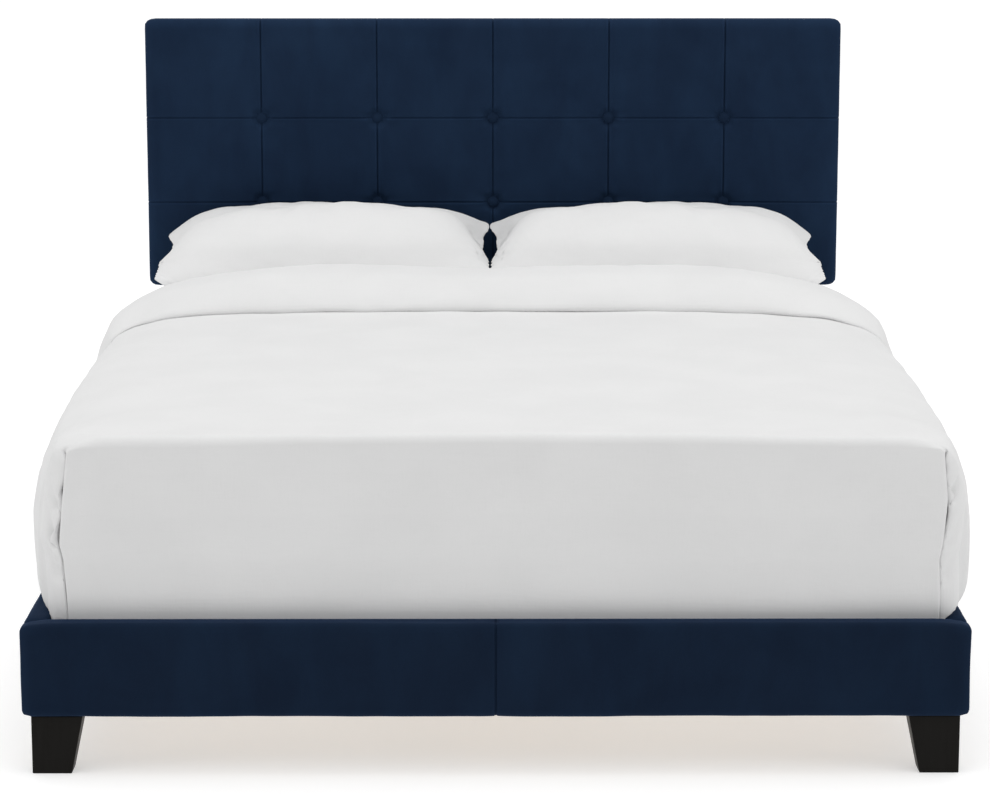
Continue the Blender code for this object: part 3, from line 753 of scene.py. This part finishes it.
# Folds in the side panels near the foot: distance from the front and height of both ends,
# then depth and width. A negative depth is a ridge.
FOLDS = {
    -1: (
        (0.036, 0.470, 0.009, 0.410, 0.0190, 0.0100), (0.026, 0.516, 0.009, 0.472, 0.0110, 0.0085),
        (0.034, 0.402, 0.010, 0.352, 0.0105, 0.0110),
    ),
    1: (
        (0.028, 0.526, 0.007, 0.486, 0.0150, 0.0080), (0.028, 0.560, 0.009, 0.520, -0.0035, 0.0085),
        (0.024, 0.450, 0.009, 0.405, 0.0060, 0.0090), (0.026, 0.386, 0.010, 0.344, 0.0080, 0.0110),
    ),
}

# The front hangs from its top edge, fills out, and tucks in behind the foot rail: the share of
# its height above the hem, and y.
FRONT_LINE = (
    (0.0, HEM_FRONT_Y), (0.05, HEM_FRONT_Y - 0.0008), (0.16, -1.0515), (0.38, -1.0605),
    (0.62, -1.064), (0.85, -1.061), (1.0, -1.058),
)


def distance_along(line):
    return np.concatenate([[0], np.cumsum(np.linalg.norm(np.diff(line, axis=0), axis=1))])


def even_line(knots, count, passes):
    """A smooth line through the knots, as evenly spaced points."""
    knots = np.asarray(knots, float)
    length = distance_along(knots)
    even = np.linspace(0, length[-1], count)
    line = np.stack([np.interp(even, length, knots[:, i]) for i in (0, 1)], axis=1)
    for _ in range(passes):
        line[1:-1] = (line[:-2] + 2 * line[1:-1] + line[2:]) / 4
    return line


def half_section(y, side):
    """The duvet's outline across the bed at y, from the hem to the middle: x outward, and z.

    Also returns the outward direction and the distance along it at each point.
    """
    base, more, reach = SPREAD[side]
    belly = base + more * (1 - math.exp(-max(y - FRONT_Y, 0.0) / reach))
    top = TOP_Z + TOP_RISE * float(step(y, -0.9, 0.45))
    square = 1 - float(step(y, FRONT_Y + 0.03, FRONT_Y + 0.36))
    hem, out = HEM_HALF, belly - HEM_HALF
    knots = [
        (hem, HEM_Z), (hem + 0.001, HEM_Z + 0.010), (hem + 0.64 * out, HEM_Z + 0.018),
        (hem + 0.97 * out, HEM_Z + 0.046), (belly, HEM_Z + 0.095), (belly, HEM_Z + 0.15),
        (belly - 0.015 + 0.009 * square, HEM_Z + 0.223),
        (belly - 0.044 + 0.022 * square, HEM_Z + 0.285 - 0.002 * square),
        (belly - 0.084 + 0.049 * square, top - 0.031 + 0.017 * square),
        (belly - 0.160 + 0.086 * square, top - 0.011 + 0.007 * square),
        (belly - 0.290, top - 0.002), (0.35, top + 0.002), (0.0, top + 0.004),
    ]
    line = even_line(knots, 220, 8)
    tangent = np.gradient(line, axis=0)
    tangent /= np.linalg.norm(tangent, axis=1, keepdims=True)
    return line, np.stack([tangent[:, 1], -tangent[:, 0]], axis=1), distance_along(line)


def edge_drop(distance):
    """How far the front's round top edge has fallen away at a distance behind it."""
    t = np.clip(1 - distance / EDGE_RADIUS, 0.0, 1.0)
    return EDGE_RADIUS * (1 - math.sqrt(1 - t * t))


def along_fold(place):
    """The folded corner's depth and distance out, at a place counted along its points."""
    numbers = range(len(CORNER_FOLD))
    return np.array([np.interp(place, numbers, column) for column in zip(*CORNER_FOLD)])


def slot_gap(z, side):
    """How far the side panel stands off the front's folded edge."""
    return sum((gap * bell(z - height, spread) for height, gap, spread in SLOTS[side]), -0.0010)


def fold_relief(side, depth, z):
    """How deep the side panel's folds are at one distance from the front, for each height."""
    relief = np.zeros(len(z))
    for outer_depth, outer_z, inner_depth, inner_z, deep, width in FOLDS[side]:
        run = np.array([inner_depth - outer_depth, inner_z - outer_z])
        from_outer = np.stack([np.full(len(z), depth - outer_depth), z - outer_z])
        share = np.clip(run @ from_outer / (run @ run), 0.0, 1.0)
        away = np.hypot(*(from_outer - share * run[:, None]))
        relief += deep * bell(away, width) * (0.25 + 0.75 * share)
    return relief


def section_points(y, step_share, side, u, w):
    """Points of the outline at y, drawn in towards the front edge and its folded corner.

    step_share runs from 0 to 1 over the rows that make the folded corner, and is 1 behind them.
    """
    line, normal, length = half_section(y, side)
    arcs = np.where(w >= 1.0, SIDE_ARC + (1 - abs(u)) * (length[-1] - SIDE_ARC), w * SIDE_ARC)
    x, z, nx = (np.interp(arcs, length, column) for column in (*line.T, normal[:, 0]))
    belly, top = line.max(axis=0)
    depth = max(y - FRONT_Y, 0.0)
    z_new = z - edge_drop(depth) * step(z, top - 0.030, top - 0.003)

    last_depth, last_out = CORNER_FOLD[-1]
    behind = WIDENING * (depth - last_depth)
    place = step_share * (len(CORNER_FOLD) - 1)
    path_depth, path_out = along_fold(place)
    path_way = along_fold(place + 0.4) - along_fold(place - 0.4)
    path_way /= math.hypot(*path_way)
    if step_share >= 1.0:
        path_depth, path_out = depth, path_out + behind
        path_way = (1.0, 0.0)
    standing_off = float(step(place, 4.5, 7.0) * (1 - step(place, 10.0, 17.0)))
    plain_out = last_out * min(depth / last_depth, 1.0) ** 0.7 + max(behind, 0.0)

    folded = 1 - step(z, HEM_Z + 0.290, HEM_Z + 0.322)
    gap = slot_gap(z_new, side) * standing_off
    crease = np.interp(z_new, CORNER_HEIGHTS, CORNER_LINE[side])
    tucked = crease + plain_out + (path_out + gap - plain_out) * folded
    side_x = np.minimum(x, tucked)
    top_x = x - np.maximum(belly - tucked, 0.0) * step(x, belly - 0.22, belly - 0.004)
    x_new = side_x + (top_x - side_x) * step(z, HEM_Z + 0.306, HEM_Z + 0.336)
    y_new = y + (path_depth - depth) * folded

    relief = fold_relief(side, path_depth, z_new) * folded * float(step(place, 8.0, 9.5))
    x_new = x_new - relief * path_way[0] * np.clip(nx, 0, 1)
    y_new = y_new + relief * path_way[1]
    return np.stack([side * x_new, y_new, z_new], axis=1)


def duvet_surface(grid):
    """The duvet's outside over its grid: u across, v from foot to head, w from hem to shoulder."""
    u, v, w = grid.T
    points = np.zeros((len(grid), 3))
    around = (abs(u) >= 1.0) | (w >= 1.0)
    for number, row in enumerate(np.unique(v)):
        y = FRONT_Y + row * (HEAD_Y - FRONT_Y)
        step_share = min(number / (CORNER_ROWS - 1), 1.0)
        for side in (-1, 1):
            here = around & (v == row) & ((u < 0) if side < 0 else (u >= 0))
            points[here] = section_points(y, step_share, side, u[here], w[here])

    def border(chosen, key, places):
        """x and z along one border of the front, at places counted by key."""
        order = np.flatnonzero(chosen)[np.argsort(key[chosen])]
        return np.array([np.interp(places, key[order], points[order, axis]) for axis in (0, 2)])

    foot = v == 0
    front = foot & ~around
    rise, share = w[front], (u[front] + 1) / 2
    spanned = rise * border(foot & (w >= 1), u, u[front])
    for edge, weight in ((foot & (u <= -1), 1 - share), (foot & (u >= 1), share)):
        spanned += weight * (border(edge, w, rise) - rise * border(edge, w, [1.0]))
    points[front, 0], points[front, 2] = spanned
    points[front, 1] = FRONT_Y
    bow = np.interp(w, *zip(*FRONT_LINE)) - FRONT_Y
    points[:, 1] += bow * np.exp(-np.clip(points[:, 1] - FRONT_Y, 0, 9) / 0.06)
    return points


def outward_of(points, faces):
    """The outward direction at each point, averaged over its faces."""
    a, b, c, d = (points[column] for column in faces.T)
    cross = np.cross(c - a, d - b)
    total = np.zeros_like(points)
    for column in range(4):
        np.add.at(total, faces[:, column], cross)
    return total / np.maximum(np.linalg.norm(total, axis=1, keepdims=True), 1e-12)


def make_duvet():
    """A filled duvet over the mattress, tucked in behind the rails, open below and at the head."""
    us = np.concatenate([np.linspace(-1, -0.88, 20), np.linspace(-0.88, 0.88, 104)[1:-1],
                         np.linspace(0.88, 1, 20)])
    length, arc = HEAD_Y - FRONT_Y, 0.075
    turn = np.linspace(0, math.acos(1 - CORNER_FOLD[-1][0] / arc), CORNER_ROWS)
    vs = np.concatenate([arc * (1 - np.cos(turn)), np.arange(0.067, 0.150, 0.005),
                         np.arange(0.150, length - 0.008, 0.016), [length]]) / length
    ws = np.unique(np.concatenate([np.linspace(0, 0.4, 15), np.linspace(0.4, 1, 41),
                                   [0.014, 0.04, 0.07]]))
    grid, faces = box_shell(us, vs, ws, open_sides=((2, 0), (1, 1)))
    points = duvet_surface(grid)
    outward = outward_of(points, faces)
    x, y, z = points.T
    loose = step(z, HEM_Z + 0.01, HEM_Z + 0.07)
    sides = 1 - step(outward[:, 2], 0.2, 0.8)
    back = step(y, FRONT_Y + 0.06, FRONT_Y + 0.25)
    waves = 0.0026 * soft_noise(points, 0.42, 41) + 0.0009 * soft_noise(points, 0.13, 42)
    drape = 0.0050 * soft_noise(points * (1.0, 1.0, 0.22), 0.15, 43) * sides * back
    points = points + outward * ((waves + drape) * loose)[:, None]
    hollow_low = (MATTRESS[0].x - INNER_CLEAR, MATTRESS[0].y - INNER_CLEAR, 0.0)
    hollow_high = (MATTRESS[1].x + INNER_CLEAR, math.inf, MATTRESS[1].z + INNER_CLEAR)
    inside = np.clip(points, hollow_low, hollow_high)
    count = len(points)
    everything = np.concatenate([points, inside])
    shell = [tuple(f) for f in faces] + [tuple(int(i) + count for i in f[::-1]) for f in faces]
    edges = set()
    for quad in faces:
        edges.update((int(a), int(b)) for a, b in zip(quad, np.roll(quad, -1)))
    shell += [(b, a, a + count, b + count) for a, b in edges if (b, a) not in edges]
    duvet = make_piece("duvet_body", everything, shell, "duvet", "duvet", ["duvet"])


CUFF_HEM_Y = 0.286
CUFF_FOLD_Y = DUVET[1].y - 0.001
CUFF_SUNK = 0.0040

# The cuff's fullness by half width: full over the bed, and thinner where it hangs.
CUFF_FULLNESS = (
    (0.0, 1.12), (0.12, 1.18), (0.30, 1.26), (0.44, 1.26), (0.56, 1.13), (0.66, 0.95),
    (0.74, 0.70), (0.80, 0.50), (0.85, 0.36),
)


def cuff_outline():
    """The turned-down end's section: along the bed, and height over the duvet."""
    run = CUFF_FOLD_Y - CUFF_HEM_Y
    knots = (
        (0.040, 0.000), (0.010, 0.0005), (0.000, 0.0035), (0.001, 0.0090), (0.009, 0.0170),
        (0.032, 0.0330), (0.064, 0.0480), (0.096, 0.0600), (run - 0.056, 0.0680),
        (run - 0.030, 0.0670), (run - 0.010, 0.0540), (run - 0.0005, 0.0330), (run, 0.0120),
        (run - 0.004, -0.0120), (run - 0.014, -0.0260), (run - 0.030, -0.0300),
        (run - 0.045, -0.0200), (run - 0.060, 0.0000), (0.040, 0.000),
    )
    return even_line(knots, 62, 2)[:-1]


def make_cuff():
    """The duvet's end, turned down over it in front of the pillows."""
    arcs = np.concatenate([np.linspace(0.0, 0.34, 46), np.linspace(0.34, 1.14, 56)[1:]])
    arcs /= arcs[-1]
    halves = []
    for side in (-1, 1):
        line, normal, length = half_section(0.40, side)
        columns = (np.hstack([line, normal]) * (side, 1, side, 1)).T
        halves.append(np.array([np.interp(arcs * length[-1], length, c) for c in columns]))
    x, z, way_x, way_z = np.hstack([halves[0], halves[1][:, -2::-1]])
    full = np.interp(abs(x), *zip(*CUFF_FULLNESS))
    full = np.where(z < 0.42, 0.18, full)
    for _ in range(6):
        full[1:-1] = (full[:-2] + 2 * full[1:-1] + full[2:]) / 4
    full *= 0.30 + 0.70 * step(z, HEM_Z + 0.005, HEM_Z + 0.09)
    section = cuff_outline()
    count, sides = len(x), len(section)
    end = step(abs(x), 0.62, 0.80)
    along = x + np.sign(x) * (0.58 - z)
    gather = 0.0012 * np.sin(along * 95.0) * end + 0.0035 * np.sin(along * 5.0 + 0.4)
    gather += 0.0018 * np.sin(along * 23.0 + 2.0)
    near_hem = 1 - np.clip(section[:, 0] / 0.06, 0, 1)
    a = CUFF_HEM_Y + section[None, :, 0] + gather[:, None] * near_hem[None, :]
    b = section[None, :, 1] * full[:, None] - CUFF_SUNK
    rings = np.stack([x[:, None] + way_x[:, None] * b, a, z[:, None] + way_z[:, None] * b], axis=2)
    flat = rings.reshape(-1, 3)
    out = np.repeat(np.stack([way_x, np.zeros(count), way_z], axis=1), sides, axis=0)
    over = np.tile(step(section[:, 1], 0.004, 0.02), count)
    lip = np.tile((1 - step(section[:, 1], 0.008, 0.02)) * near_hem, count)
    flat = flat + out * (0.0016 * soft_noise(flat, 0.11, 54) * lip)[:, None]
    ends = np.repeat(end, sides)
    crumple = 0.0026 * soft_noise(flat, 0.24, 51)
    crumple += 0.0010 * soft_noise(flat * (1, 0.35, 1), 0.06, 52)
    pleats = 0.0022 * soft_noise(flat * (1.0, 0.30, 1.0), 0.030, 53) * ends
    pleats *= np.tile(near_hem, count)
    flat = flat + out * ((crumple + pleats) * over)[:, None]
    faces = ring_faces(count, sides)
    faces.append(tuple(range(sides))[::-1])
    faces.append(tuple(range((count - 1) * sides, count * sides)))
    cuff = make_piece("duvet_cuff", flat, faces, "duvet", None)
    face_outward(cuff)
    settle(cuff, "duvet")


# ---------------- pillows

PILLOW_HALF_LENGTH = 0.383
PILLOW_HALF_WIDTH = 0.215
PILLOW_CLOTH = {
    "quality": 5, "mass": 0.25, "use_pressure": True, "uniform_pressure_force": 2.2,
    "tension_stiffness": 22, "compression_stiffness": 22, "shear_stiffness": 8,
    "bending_stiffness": 0.35,
}
SIMULATED_FRAMES = 22
STRAIGHTENED = 0.97


def pillow_blank():
    """Two layers joined round a knife edge: points, faces, and where each point is from -1 to 1."""
    nx, ny, pull = 74, 42, 0.05
    uu, vv = np.meshgrid(np.linspace(-1, 1, nx + 1), np.linspace(-1, 1, ny + 1), indexing="ij")
    x = PILLOW_HALF_LENGTH * uu * (1 - pull * (1 - vv ** 2) * abs(uu) ** 3)
    y = PILLOW_HALF_WIDTH * vv * (1 - pull * (1 - uu ** 2) * abs(vv) ** 3)
    fill = 0.045 * ((1 - abs(uu) ** 3.0) * (1 - abs(vv) ** 2.6)) ** 0.55
    top = np.arange(uu.size).reshape(uu.shape)
    inner = (abs(uu) < 1) & (abs(vv) < 1)
    under = top.copy()
    under[inner] = uu.size + np.arange(inner.sum())
    faces = []
    for i in range(nx):
        for j in range(ny):
            faces.append((top[i, j], top[i + 1, j], top[i + 1, j + 1], top[i, j + 1]))
            faces.append((under[i, j + 1], under[i + 1, j + 1], under[i + 1, j], under[i, j]))
    upper = np.stack([x, y, fill], axis=2).reshape(-1, 3)
    lower = np.stack([x, y, -fill], axis=2)[inner]
    where = np.stack([uu, vv], axis=2)
    where = np.concatenate([where.reshape(-1, 2), where[inner]])
    return np.concatenate([upper, lower]), faces, where


def straighten(points, where):
    """Takes out most of the inward pull that the filling gives the edges."""
    result = points.copy()
    for axis in (0, 1):
        other = 1 - axis
        lines, line_of = np.unique(where[:, other], return_inverse=True)
        reach = []
        for end in (-1, 1):
            edge = np.flatnonzero(where[:, axis] == end)
            edge = edge[np.argsort(where[edge, other])]
            smooth = abs(points[edge, axis])
            for _ in range(2):
                smooth[1:-1] = (smooth[:-2] + 2 * smooth[1:-1] + smooth[2:]) / 4
            reach.append((smooth / smooth.max())[line_of] ** STRAIGHTENED)
        toward = (where[:, axis] + 1) / 2
        result[:, axis] /= reach[0] * (1 - toward) + reach[1] * toward
    return result


def inflate(points, faces, seed):
    """Blows the two layers up as cloth, so that the edge seam gathers, and returns its points."""
    piece = make_piece(f"pillow_blank_{seed}", points, faces, "pillow", None)
    rng = np.random.default_rng(seed)
    co = points + rng.normal(scale=0.0006, size=points.shape)
    piece.data.vertices.foreach_set("co", co.astype(np.float32).ravel())
    cloth = piece.modifiers.new("cloth", "CLOTH")
    for setting, value in PILLOW_CLOTH.items():
        setattr(cloth.settings, setting, value)
    cloth.settings.effector_weights.gravity = 0.0
    cloth.point_cache.frame_start = 1
    cloth.point_cache.frame_end = SIMULATED_FRAMES
    scene = bpy.context.scene
    scene.frame_start, scene.frame_end = 1, SIMULATED_FRAMES
    for number in range(1, SIMULATED_FRAMES + 1):
        scene.frame_set(number)
    graph = bpy.context.evaluated_depsgraph_get()
    mesh = piece.evaluated_get(graph).to_mesh()
    result = np.zeros(len(mesh.vertices) * 3, np.float32)
    mesh.vertices.foreach_get("co", result)
    mesh_data = piece.data
    bpy.data.objects.remove(piece)
    bpy.data.meshes.remove(mesh_data)
    scene.frame_set(1)
    return result.reshape(-1, 3).astype(float)


def pillow_forms():
    """One filled pillow for each row, centred and scaled to unit half sizes."""
    blank, faces, where = pillow_blank()
    forms = {}
    for row, seed in (("front", 61), ("back", 62)):
        points = straighten(inflate(blank, faces, seed), where)
        points = points - (points.max(0) + points.min(0)) / 2
        forms[row] = points / abs(points).max(0)
    return forms, faces


# For each row: y of the bottom and top edges, their heights in the middle, how far the bottom
# edge's ends rise, and the top edge's droop at the outer and the inner end (a broad term, a term
# for the corner, and the corner term's power).
PILLOW_ROWS = {
    "front": (0.530, 0.800, 0.548, 0.774, 0.085, (0.066, 0.048, 6), (0.022, 0.090, 7)),
    "back": (0.712, 0.974, 0.552, 0.754, 0.060, (0.030, 0.050, 8), (0.032, 0.020, 4)),
}
PILLOW_THICK = 0.066
PILLOW_CENTRE = {-1: -0.385, 1: 0.371}
PAIRS_MEET = -0.0085
FLOOR_CLEAR = 0.004
FLOOR_SOFTNESS = 0.012


def make_pillow(side_name, side, row, form, faces):
    """Leans a filled pillow where its CAD solid is, with its upper corners drooping."""
    node = f"pillow_{side_name}_{row}"
    y_low, y_high, z_low, z_high, rise, outer, inner = PILLOW_ROWS[row]
    u, v, w = form.T
    ends = abs(u)
    upper = step(v, 0.0, 0.9)
    tip = step(v, 0.45, 0.95)
    if row == "front":
        reach = 0.377 + 0.004 * (u < 0) - np.where(u > 0, 0.022, 0.036) * upper * ends ** 6
    else:
        reach = 0.368 + np.where(u > 0, 0.002 + 0.016 * tip, 0.024 * tip) * ends ** 6
    x = PILLOW_CENTRE[side] + side * u * reach
    x = PAIRS_MEET + side * np.maximum(side * (x - PAIRS_MEET), 0.0005)
    droop = np.where(u > 0, outer[0] * ends ** 2 + outer[1] * ends ** outer[2],
                     inner[0] * ends ** 2 + inner[1] * ends ** inner[2])
    share = (v + 1) / 2
    bottom = z_low + rise * ends ** 3
    top = z_high - droop
    lean = np.radians(42.0 - 24.0 * ends ** 4)
    thick = PILLOW_THICK * w * np.where(w < 0, 0.88, 1.0)
    thick *= 1 - 0.85 * np.maximum(ends, abs(v)) ** 10
    y = y_low + (y_high - y_low) * share + 0.030 * ends ** 3 * (1 - share) - thick * np.sin(lean)
    if row == "front":
        y -= (0.012 * bell(v - 0.12, 0.36) - 0.010 * step(-v, -0.05, 0.6)) * (1 - ends ** 4)
    z = bottom + (top - bottom) * share + thick * np.cos(lean)
    points = np.stack([x, y, z], axis=1)
    floor = MATTRESS[1].z + FLOOR_CLEAR
    depth = np.clip(floor + FLOOR_SOFTNESS - z, 0.0, 1.0)
    points[:, 2] = np.where(depth > 0, floor + FLOOR_SOFTNESS * np.exp(-depth / FLOOR_SOFTNESS), z)
    points[:, 1] = np.clip(points[:, 1], CUFF_FOLD_Y + 0.003, HEADBOARD[0].y - 0.0025)
    if side < 0:
        faces = [f[::-1] for f in faces]
    pillow = make_piece(node + "_case", points, faces, "pillow", node, [node])
    smooth = pillow.modifiers.new("smooth", "SUBSURF")
    smooth.levels = smooth.render_levels = 1


# ---------------- the CAD's own nodes

DRESSES = {
    "pine_x": ("slat", "head_rail", "foot_rail_board", "headboard_batten"),
    "pine_y": ("ledger", "centre_beam", "side_rail_board"),
    "plywood": ("headboard_panel",),
    "foam": ("headboard_foam",),
    "back_cloth": ("headboard_dust",),
    "black_wood": ("foot_leg", "centre_leg", "headboard_post"),
    "black_steel": ("bracket",),
    "zinc": ("levelling", "headboard_bolt"),
}


def dress_frame():
    """Gives the CAD nodes whose names start so a detailed material in place of their own."""
    for material, prefixes in DRESSES.items():
        for name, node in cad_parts.items():
            if name.startswith(prefixes):
                node.data.materials.clear()
                node.data.materials.append(MATERIALS[material])


make_camera()
make_studio()
dress_frame()
make_headboard_cover()
for button_index in range(1, 2 * BUTTON_COLUMNS + 1):
    make_button(button_index)
make_rail_cover("foot_rail_velvet", "foot_rail_cover", "foot_rail_board", 0, 1)
for side_label, side_sign in SIDES:
    make_rail_cover(f"side_rail_velvet_{side_label}", f"side_rail_cover_{side_label}",
                    f"side_rail_board_{side_label}", 1, -side_sign)
make_mattress()
make_duvet()
make_cuff()
pillow_shapes, pillow_faces = pillow_forms()
for side_label, side_sign in SIDES:
    for row_label in ("back", "front"):
        make_pillow(side_label, side_sign, row_label, pillow_shapes[row_label], pillow_faces)
